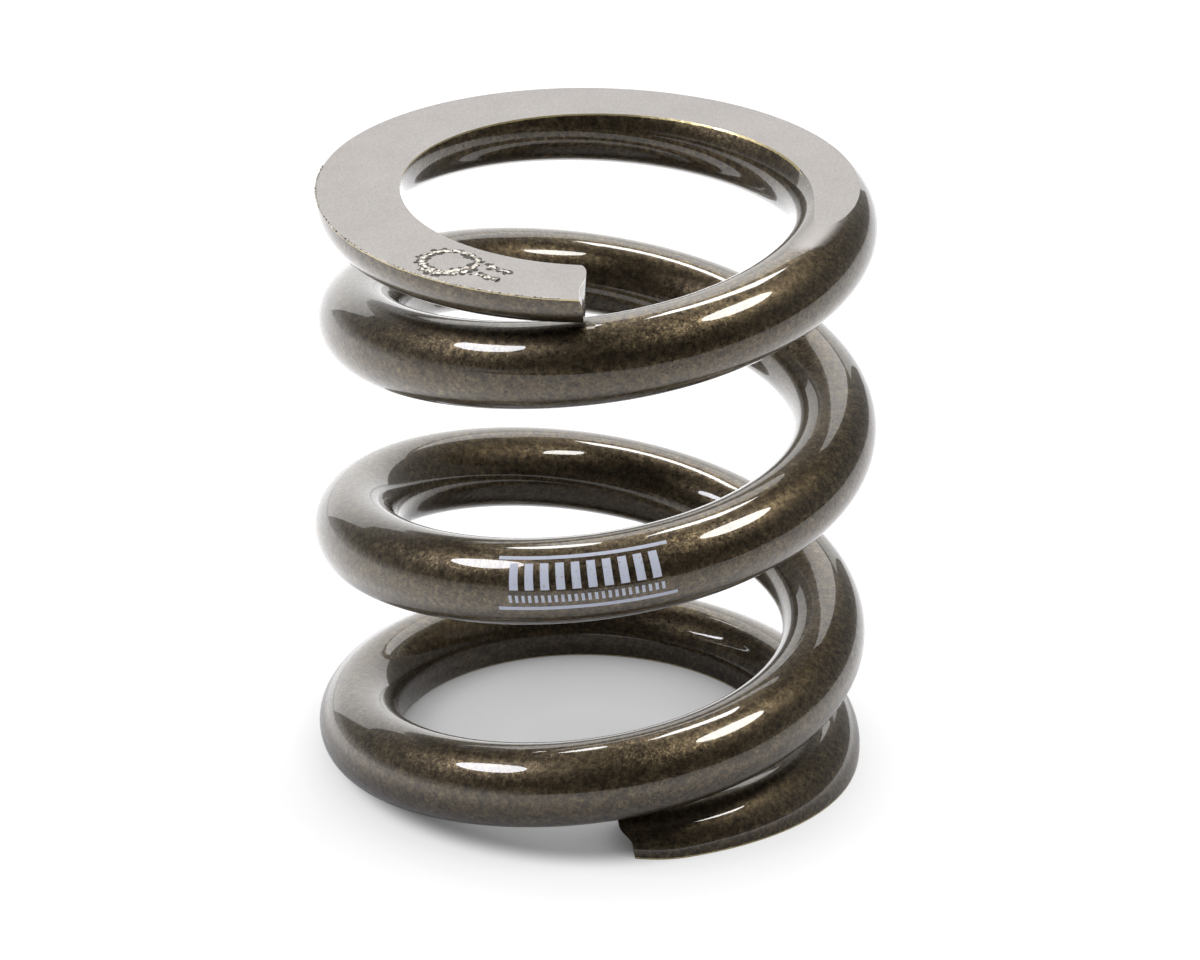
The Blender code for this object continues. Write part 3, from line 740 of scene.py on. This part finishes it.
def etch_tree():
    """A loop and two dashes, run over by hand with an electric etcher: lumpy beads on a bed of burnt spatter."""
    labels = [*names_of(EtchSettings), "Free Length"]
    w = new_group("Etched loop", labels, Int=["Seed"], Material=["Burr", "Burnt"])
    w.work_out((
        ("sine", "SINE", "Etch Angle"),
        ("cosine", "COSINE", "Etch Angle"),
        ("x", "MULTIPLY", "Etch Reach", "sine"),
        ("minus reach", "MULTIPLY", "Etch Reach", -1.0),
        ("y", "MULTIPLY", "minus reach", "cosine"),
        ("dash start", "MULTIPLY", "Loop Outside", 1.3),
        ("dash end", "MULTIPLY", "Loop Outside", 2.1),
        ("dash high", "MULTIPLY", "Loop Outside", 0.5),
        ("dash low", "MULTIPLY", "Loop Outside", -0.2),
    ))
    strokes = w.add("strokes", "GeometryNodeJoinGeometry")
    radii = {"Start Radius": "Loop Inside", "End Radius": "Loop Outside"}
    w.add("loop", "GeometryNodeCurveSpiral", {"Resolution": 48, "Rotations": "Loop Turns", "Height": 0.0, **radii})
    w.feed(strokes, {0: "loop"})
    for height in ("dash high", "dash low"):
        w.add("start", "ShaderNodeCombineXYZ", {"X": "dash start", "Y": height})
        w.add("end", "ShaderNodeCombineXYZ", {"X": "dash end", "Y": height})
        w.add("dash", "GeometryNodeCurvePrimitiveLine", {"Start": "start", "End": "end"})
        w.feed(strokes, {0: "dash"})
    w.add("even", "GeometryNodeResampleCurve", {"Curve": "strokes", "Length": "Bead Step"}, mode="LENGTH")
    # The melted stroke wanders and swells
    w.add("here", "GeometryNodeInputPosition")
    w.add("flow", "ShaderNodeTexNoise", {"Vector": "here", "Scale": 1 / FLOW_SIZE, "Detail": 2.0})
    w.add("swell", "ShaderNodeMapRange", dict(zip(RAMP, ("flow", 0.35, 0.65, 0.45, 1.2))))
    w.work_out((("wander", "SUBTRACT", "flow.Color", (0.5, 0.5, 0.5)),), "ShaderNodeVectorMath")
    w.add("offset", "ShaderNodeVectorMath", {0: "wander", "Scale": "Shake"}, operation="SCALE")
    w.add("shaken", "GeometryNodeSetPosition", {"Geometry": "even", "Offset": "offset"})
    w.add("section", "GeometryNodeCurvePrimitiveCircle", {"Resolution": 12, "Radius": "Bead Radius"}, mode="RADIUS")
    sweep = {"Curve": "shaken", "Profile Curve": "section", "Scale": "swell", "Fill Caps": True}
    w.add("beads", "GeometryNodeCurveToMesh", sweep)
    w.add("bright", "GeometryNodeSetMaterial", {0: "beads", "Material": "Burr"})
    # Flat burnt drops under the strokes and beside them
    span = {"Min": (-1.0, -1.0, 0.0), "Max": (1.0, 1.0, 0.0), "Seed": "Seed"}
    w.add("thrown", "FunctionNodeRandomValue", span, data_type="FLOAT_VECTOR")
    w.add("aside", "ShaderNodeVectorMath", {0: "thrown", "Scale": "Shake"}, operation="SCALE")
    w.add("landed", "GeometryNodeSetPosition", {"Geometry": "even", "Offset": "aside"})
    w.add("drop", "GeometryNodeMeshIcoSphere", {"Radius": "Bead Radius", "Subdivisions": 2})
    sizes = {"Min": (0.3, 0.3, 0.2), "Max": (1.0, 1.0, 0.35), "Seed": 3}
    w.add("size", "FunctionNodeRandomValue", sizes, data_type="FLOAT_VECTOR")
    w.add("drops", "GeometryNodeInstanceOnPoints", {"Points": "landed", "Instance": "drop", "Scale": "size"})
    w.add("dark", "GeometryNodeSetMaterial", {0: "drops", "Material": "Burnt"})
    both = w.add("both", "GeometryNodeJoinGeometry", {0: "bright"})
    w.feed(both, {0: "dark"})
    w.add("real", "GeometryNodeRealizeInstances", {0: "both"})
    w.add("spot", "ShaderNodeCombineXYZ", {"X": "x", "Y": "y", "Z": "Free Length"})
    w.add("turned", "ShaderNodeCombineXYZ", {"Z": "Etch Angle"})
    w.add("relief", "ShaderNodeCombineXYZ", {"X": 1.0, "Y": 1.0, "Z": "Bead Relief"})
    moves = {"Translation": "spot", "Rotation": "turned", "Scale": "relief"}
    w.add("placed", "GeometryNodeTransform", {"Geometry": "real", **moves})
    w.add("smooth", "GeometryNodeSetShadeSmooth", {0: "placed", "Shade Smooth": True})
    w.add("result", "NodeGroupOutput", {0: "smooth"})
    return w.tree


def burr_tree():
    """Fine broken burr that the grinding wheel left along the outer edge of the upper seat, near its tip."""
    labels = [*names_of(SpringSizes), "Burr Start", "Burr End", "Burr Size"]
    w = new_group("Seat burr", labels, Int=["Burr Count", "Seed"], Material=["Burr"])
    w.add("line", "GeometryNodeCurvePrimitiveLine")
    w.add("even", "GeometryNodeResampleCurve", {"Curve": "line", "Count": "Burr Count"})
    w.add("along", "GeometryNodeSplineParameter")
    w.work_out((
        ("burr turns", "SUBTRACT", "Burr Start", "Burr End"),
        ("gone", "MULTIPLY", "along.Factor", "burr turns"),
        ("from tip", "SUBTRACT", "Burr Start", "gone"),
        ("turns", "SUBTRACT", "Total Turns", "from tip"),
    ))
    follow(w, "path", "turns")
    w.add("middle", "ShaderNodeSeparateXYZ", {0: "path.Middle"})
    w.work_out((
        ("wire radius", "MULTIPLY", "Wire Diameter", 0.5),
        ("below seat", "SUBTRACT", "Free Length", "middle.Z"),
        ("below squared", "MULTIPLY", "below seat", "below seat"),
        ("radius squared", "MULTIPLY", "wire radius", "wire radius"),
        ("chord squared", "SUBTRACT", "radius squared", "below squared"),
        ("chord", "SQRT", "chord squared"),
    ))
    w.add("lift", "ShaderNodeCombineXYZ", {"Z": "below seat"})
    w.work_out((
        ("raised", "ADD", "path.Middle", "lift"),
        ("edge", "MULTIPLY_ADD", "path.Outwards", "chord", "raised"),
    ), "ShaderNodeVectorMath")
    w.add("laid", "GeometryNodeSetPosition", {"Geometry": "even", "Position": "edge"})
    w.add("swell", "FunctionNodeRandomValue", {2: 0.15, 3: 1.2, "Seed": "Seed"}, data_type="FLOAT")
    w.add("section", "GeometryNodeCurvePrimitiveCircle", {"Resolution": 8, "Radius": "Burr Size"}, mode="RADIUS")
    sweep = {"Curve": "laid", "Profile Curve": "section", "Scale": "swell.1", "Fill Caps": True}
    w.add("burr", "GeometryNodeCurveToMesh", sweep)
    w.add("smooth", "GeometryNodeSetShadeSmooth", {0: "burr", "Shade Smooth": True})
    w.add("real", "GeometryNodeRealizeInstances", {0: "smooth"})
    w.add("steel", "GeometryNodeSetMaterial", {0: "real", "Material": "Burr"})
    w.add("result", "NodeGroupOutput", {0: "steel"})
    return w.tree


SHARP_EDGE = math.radians(30)
ETCH_SEED = 4
# Between which turns from the upper tip the burr runs, how thick it is and how many points it has
SEAT_BURR = {"Burr Start": 0.27, "Burr End": 0.012, "Burr Size": 0.08 * MM, "Burr Count": 420}


class SPRING_OT_wind_coil(bpy.types.Operator):
    """Wind the spring's wire, cut its tips, grind both ends flat and paint it"""

    bl_idname = "spring.wind_coil"
    bl_label = "Wind Coil"

    def execute(self, context):
        sizes, finish = context.scene.spring_sizes, context.scene.spring_finish
        cutters = tip_cutters(sizes)
        turn_length = math.pi * (sizes.outside_diameter - sizes.wire_diameter)
        values = {
            **values_of(sizes, finish),
            "Spare Turns": SPARE_WIRE / turn_length,
            "Sharp Edge": SHARP_EDGE,
            "Tip Cutters": cutters,
            "Paint": bronze_paint(finish, sizes.free_length),
            "Ground Steel": ground_steel(finish),
        }
        coil = grown("wound_coil", coil_tree(), values)
        bpy.data.objects.remove(cutters)
        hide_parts(NODE)
        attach(coil, BODY)
        return {"FINISHED"}


class SPRING_OT_print_bars(bpy.types.Operator):
    """Print plain bars on the front of the middle turn"""

    bl_idname = "spring.print_bars"
    bl_label = "Print Bars"

    def execute(self, context):
        scene = context.scene
        values = {**values_of(scene.spring_sizes, scene.spring_print), "Ink": pad_ink(scene.spring_finish)}
        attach(grown("pad_print", print_tree(), values), BODY)
        return {"FINISHED"}


class SPRING_OT_etch_seat(bpy.types.Operator):
    """Etch a plain loop on the upper seat and leave a fine burr along the seat's edge"""

    bl_idname = "spring.etch_seat"
    bl_label = "Etch Seat"

    def execute(self, context):
        scene = context.scene
        values = values_of(scene.spring_sizes, scene.spring_etch)
        finish = scene.spring_finish
        values.update({"Seed": ETCH_SEED, "Burr": raised_steel(finish), "Burnt": burnt_spatter(finish), **SEAT_BURR})
        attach(grown("etched_loop", etch_tree(), values), BODY)
        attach(grown("seat_burr", burr_tree(), values), BODY)
        return {"FINISHED"}


# Lamps: where each stands as seen from the spring, clockwise from behind and above level, how far off, how
# wide and high, its radiance, how much more of it shows only as a glint on what is glossy, as the bare tube
# inside a softbox does, its colour, and whether it is round. Two softboxes stand left and right, a third
# and a strip hang behind the spring, and under them a lit panel and a low white card face the camera.
SOFTBOXES = (
    ("left_box", -102, 51.5, 0.9, 0.42, 0.29, 7.0, 12.0, "#F4F6FF", True),
    ("right_box", 107, 62.5, 0.9, 0.36, 0.32, 7.0, 13.5, "#FCFBF8", True),
    ("back_box", 9, 61.5, 1.1, 0.34, 0.17, 6.0, 13.0, "#FFFFFF", False),
    ("back_strip", -21, 51, 1.1, 0.12, 0.27, 1.0, 15.0, "#FFFFFF", True),
    ("back_panel", 5, 39.5, 1.2, 0.68, 0.46, 2.3, 0.0, "#FFFFFF", False),
    ("back_card", -6, 14, 1.4, 1.65, 0.7, 1.4, 0.0, "#FFFFFF", False),
)
TUBE_DEPTH = 10 * MM
AIM_HEIGHT = 26 * MM

TABLE_REACH = 6.0
TABLE_SIDES = 96

# How brightly the table glows in what mirrors it, which is painted reflection light: not at all under the spring,
# where it is painted shade, fully from SHADE_OUTSIDE, more by LEFT_GLOW on the left, and less in front, up to the
# table's front edge, where it ends for what mirrors it and the room's colour shows instead. That edge runs slantwise,
# nearer on the right.
SHADE_INSIDE = 23 * MM
SHADE_OUTSIDE = 42 * MM
SIDE_GLOW = 0.68
FRONT_GLOW = 0.33
LEFT_GLOW = 0.5
LEFT_REACH = 60 * MM
FRONT_REACH = 100 * MM
EDGE_REACH = 230 * MM
EDGE_BLUR = 80 * MM
EDGE_SLANT = -0.6
# To the camera it keeps SEEN_SHARE of its shading and glows with SEEN_GLOW, or with OPEN_GLOW in the open, which
# begins and is reached at these radii: the dimmer glow inside them is a painted shadow under the spring. What is
# nearer than CONTACT_REACH darkens the glow, by OPEN_SHADE in the open, as painted contact shade.
SEEN_SHARE = 0.38
SEEN_GLOW = 0.46
OPEN_GLOW = 0.83
OPEN_SHADE = 0.35
OPEN_INSIDE = 19 * MM
OPEN_OUTSIDE = 22.5 * MM
CONTACT_REACH = 10 * MM


def table_top():
    """Flat round table, wide enough to meet the eye's level."""
    shape = bmesh.new()
    bmesh.ops.create_circle(shape, cap_ends=True, radius=TABLE_REACH, segments=TABLE_SIDES)
    return modelled("table_top", shape)


def table_material(stage):
    """White laminate table: matt, and blown out to plain white where nothing shades it.

    To the camera and in reflections it glows, which is painted light, and less where the spring shades it, which is
    painted shade. In reflections it glows more on the left and less in front.
    """
    material, w, shader = blank_material("white_table", unit=1.0)
    w.add("rays", "ShaderNodeLightPath")
    w.add("away", "ShaderNodeVectorMath", {0: "place"}, operation="LENGTH")
    w.add("spot", "ShaderNodeSeparateXYZ", {0: "place"})
    w.work_out((("slanted", "MULTIPLY_ADD", "spot.X", EDGE_SLANT, "spot.Y"),))
    # near, side, left and top shape the painted reflection light; clear and the occlusion below shape the painted
    # shade seen by the camera
    ramps = (
        ("near", "away.Value", SHADE_INSIDE, SHADE_OUTSIDE),
        ("side", "spot.Y", -FRONT_REACH, 0.0, FRONT_GLOW, SIDE_GLOW),
        ("top", "slanted", -EDGE_REACH - EDGE_BLUR, -EDGE_REACH),
        ("left", "spot.X", LEFT_REACH, -LEFT_REACH, 1.0, 1.0 + LEFT_GLOW),
        ("clear", "away.Value", OPEN_INSIDE, OPEN_OUTSIDE),
    )
    for name, *ramp in ramps:
        w.add(name, "ShaderNodeMapRange", dict(zip(RAMP, ramp)), interpolation_type="SMOOTHSTEP")
    w.add("contact", "ShaderNodeAmbientOcclusion", {"Distance": CONTACT_REACH}, samples=8)
    w.work_out((
        ("shaded glow", "MULTIPLY", "contact.AO", SEEN_GLOW),
        ("clear glow", "MULTIPLY_ADD", "contact.AO", OPEN_GLOW * OPEN_SHADE, OPEN_GLOW * (1.0 - OPEN_SHADE)),
        ("more glow", "SUBTRACT", "clear glow", "shaded glow"),
        ("seen glow", "MULTIPLY_ADD", "clear", "more glow", "shaded glow"),
        ("seen", "MULTIPLY", "rays.Is Camera Ray", "seen glow"),
        ("kept share", "MULTIPLY_ADD", "rays.Is Camera Ray", SEEN_SHARE - 1.0, 1.0),
        ("mirrored", "ADD", "rays.Is Glossy Ray", "rays.Is Transmission Ray"),
        ("mirror light", "MULTIPLY", "near", "side"),
        ("mirror more", "MULTIPLY", "mirror light", "left"),
        ("mirror top", "MULTIPLY", "mirror more", "top"),
        ("mirror glow", "MULTIPLY", "mirrored", "mirror top"),
        ("glow", "ADD", "seen", "mirror glow"),
        ("past edge", "SUBTRACT", 1.0, "top"),
        ("hidden", "MULTIPLY", "mirrored", "past edge"),
    ))
    w.add("colour", "ShaderNodeMix", {0: "hidden", 6: stage.floor_colour, 7: stage.room_colour}, data_type="RGBA")
    w.add("kept", "ShaderNodeVectorMath", {0: "colour.2", "Scale": "kept share"}, operation="SCALE")
    w.feed(shader, {
        "Base Color": "kept", "Roughness": 0.9, "Specular IOR Level": 0.0,
        "Emission Color": WHITE, "Emission Strength": "glow",
    })
    return material


def room(stage):
    """Dim room. Its walls fill the shadows softly.

    What is glossy shows them dark in front, grey at the sides and lit by the table at the foot of the left one.
    """
    world = bpy.data.worlds.new("dim_room")
    world.use_nodes = True
    w = Wiring(world.node_tree)
    w.add("rays", "ShaderNodeLightPath")
    w.add("sky", "ShaderNodeTexCoord")
    w.add("way", "ShaderNodeSeparateXYZ", {0: "sky.Generated"})
    ramps = (
        ("beside", "way.Y", -0.7, 0.0),
        ("low", "way.Z", 0.5, 0.8, 1.0, 0.0),
        ("foot", "way.Z", 0.0, 0.22, 1.0, 0.0),
        ("leftward", "way.X", -0.3, -0.8),
    )
    for name, *ramp in ramps:
        w.add(name, "ShaderNodeMapRange", dict(zip(RAMP, ramp)), interpolation_type="SMOOTHSTEP")
    w.work_out((("wall", "MULTIPLY", "beside", "low"), ("lit foot", "MULTIPLY", "foot", "leftward")))
    w.add("walls", "ShaderNodeMix", {0: "wall", 6: stage.room_colour, 7: stage.wall_colour}, data_type="RGBA")
    w.add("lit walls", "ShaderNodeMix", {0: "lit foot", 6: "walls.2", 7: WHITE}, data_type="RGBA")
    filled = {0: "rays.Is Diffuse Ray", 6: "lit walls.2", 7: stage.fill_colour}
    w.add("colour", "ShaderNodeMix", filled, data_type="RGBA")
    w.feed(w.tree.nodes["Background"], {"Color": "colour.2"})
    return world


def direction(azimuth, elevation):
    """Unit vector, clockwise from behind the spring and up from level, in degrees."""
    turn, lift = math.radians(azimuth), math.radians(elevation)
    return Vector((math.sin(turn) * math.cos(lift), math.cos(turn) * math.cos(lift), math.sin(lift)))


def camera_matrix(stage, target):
    """Where the camera stands and how it is turned."""
    lift, yaw, pitch = stage.camera_elevation, stage.camera_yaw, stage.camera_pitch
    ahead = Vector((0, math.cos(lift), -math.sin(lift)))
    right = Vector((1, 0, 0))
    up = right.cross(ahead)
    aim = ahead * math.cos(yaw) * math.cos(pitch) + right * math.sin(yaw) * math.cos(pitch) + up * math.sin(pitch)
    aim.normalize()
    level = aim.cross(Vector((0, 0, 1))).normalized()
    above = level.cross(aim)
    roll = stage.camera_roll
    side = level * math.cos(roll) + above * math.sin(roll)
    top = above * math.cos(roll) - level * math.sin(roll)
    matrix = Matrix((side, top, -aim)).transposed().to_4x4()
    matrix.translation = target - ahead * stage.camera_distance
    return matrix


class SPRING_OT_set_stage(bpy.types.Operator):
    """Lay the white table, hang the softboxes and set up the camera"""

    bl_idname = "spring.set_stage"
    bl_label = "Set Stage"

    def execute(self, context):
        scene, stage = context.scene, context.scene.spring_stage
        table = table_top()
        table.data.materials.append(table_material(stage))

        aim = Vector((0, 0, AIM_HEIGHT))
        for name, azimuth, elevation, distance, width, height, radiance, glint, colour, is_round in SOFTBOXES:
            place = aim + direction(azimuth, elevation) * distance
            turn = (aim - place).to_track_quat("-Z", "Y").to_euler()
            layers = [(name, radiance, 0.0)]
            if glint:
                layers.append((name + "_tube", glint, TUBE_DEPTH))
            for label, strength, depth in layers:
                lamp = bpy.data.lights.new(label, "AREA")
                lamp.shape = "ELLIPSE" if is_round else "RECTANGLE"
                lamp.size, lamp.size_y = width, height
                lamp.energy = strength * math.pi * width * height * (math.pi / 4 if is_round else 1)
                lamp.color = linear(colour)
                holder = put_in_scene(label, lamp)
                holder.visible_diffuse = depth == 0.0
                holder.location = place + direction(azimuth, elevation) * depth
                holder.rotation_euler = turn

        scene.world = room(stage)

        lens = bpy.data.cameras.new("camera")
        lens.sensor_width = 36.0
        lens.lens = stage.focal_pixels / IMAGE_WIDTH * lens.sensor_width
        lens.clip_start = 10 * MM
        scene.camera = put_in_scene("camera", lens)
        middle = Vector((0, 0, scene.spring_sizes.free_length / 2))
        scene.camera.matrix_world = camera_matrix(stage, middle)
        scene.view_settings.view_transform = "Standard"
        return {"FINISHED"}


class SPRING_PT_panel(bpy.types.Panel):
    """Lists what the file makes"""

    bl_label = "Bump Stop Spring"
    bl_idname = "SPRING_PT_panel"
    bl_space_type = "VIEW_3D"
    bl_region_type = "UI"
    bl_category = "Spring"

    def draw(self, context):
        scene = context.scene
        for name, _ in GROUPS:
            box = self.layout.box()
            for item in own_properties(getattr(scene, name)):
                box.prop(getattr(scene, name), item.identifier)
        for operator in OPERATORS:
            self.layout.operator(operator.bl_idname)


OPERATORS = (SPRING_OT_wind_coil, SPRING_OT_print_bars, SPRING_OT_etch_seat, SPRING_OT_set_stage)
GROUPS = (
    ("spring_sizes", SpringSizes),
    ("spring_finish", SpringFinish),
    ("spring_print", PrintSettings),
    ("spring_etch", EtchSettings),
    ("spring_stage", StageSettings),
)


def register():
    for name, group in GROUPS:
        bpy.utils.register_class(group)
        setattr(bpy.types.Scene, name, PointerProperty(type=group))
    for kind in (*OPERATORS, SPRING_PT_panel):
        bpy.utils.register_class(kind)


def unregister():
    for kind in (SPRING_PT_panel, *reversed(OPERATORS)):
        bpy.utils.unregister_class(kind)
    for name, group in reversed(GROUPS):
        delattr(bpy.types.Scene, name)
        bpy.utils.unregister_class(group)


def main():
    register()
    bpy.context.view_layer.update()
    bpy.ops.spring.wind_coil()
    bpy.ops.spring.print_bars()
    bpy.ops.spring.etch_seat()
    bpy.ops.spring.set_stage()


if __name__ == "__main__":
    main()
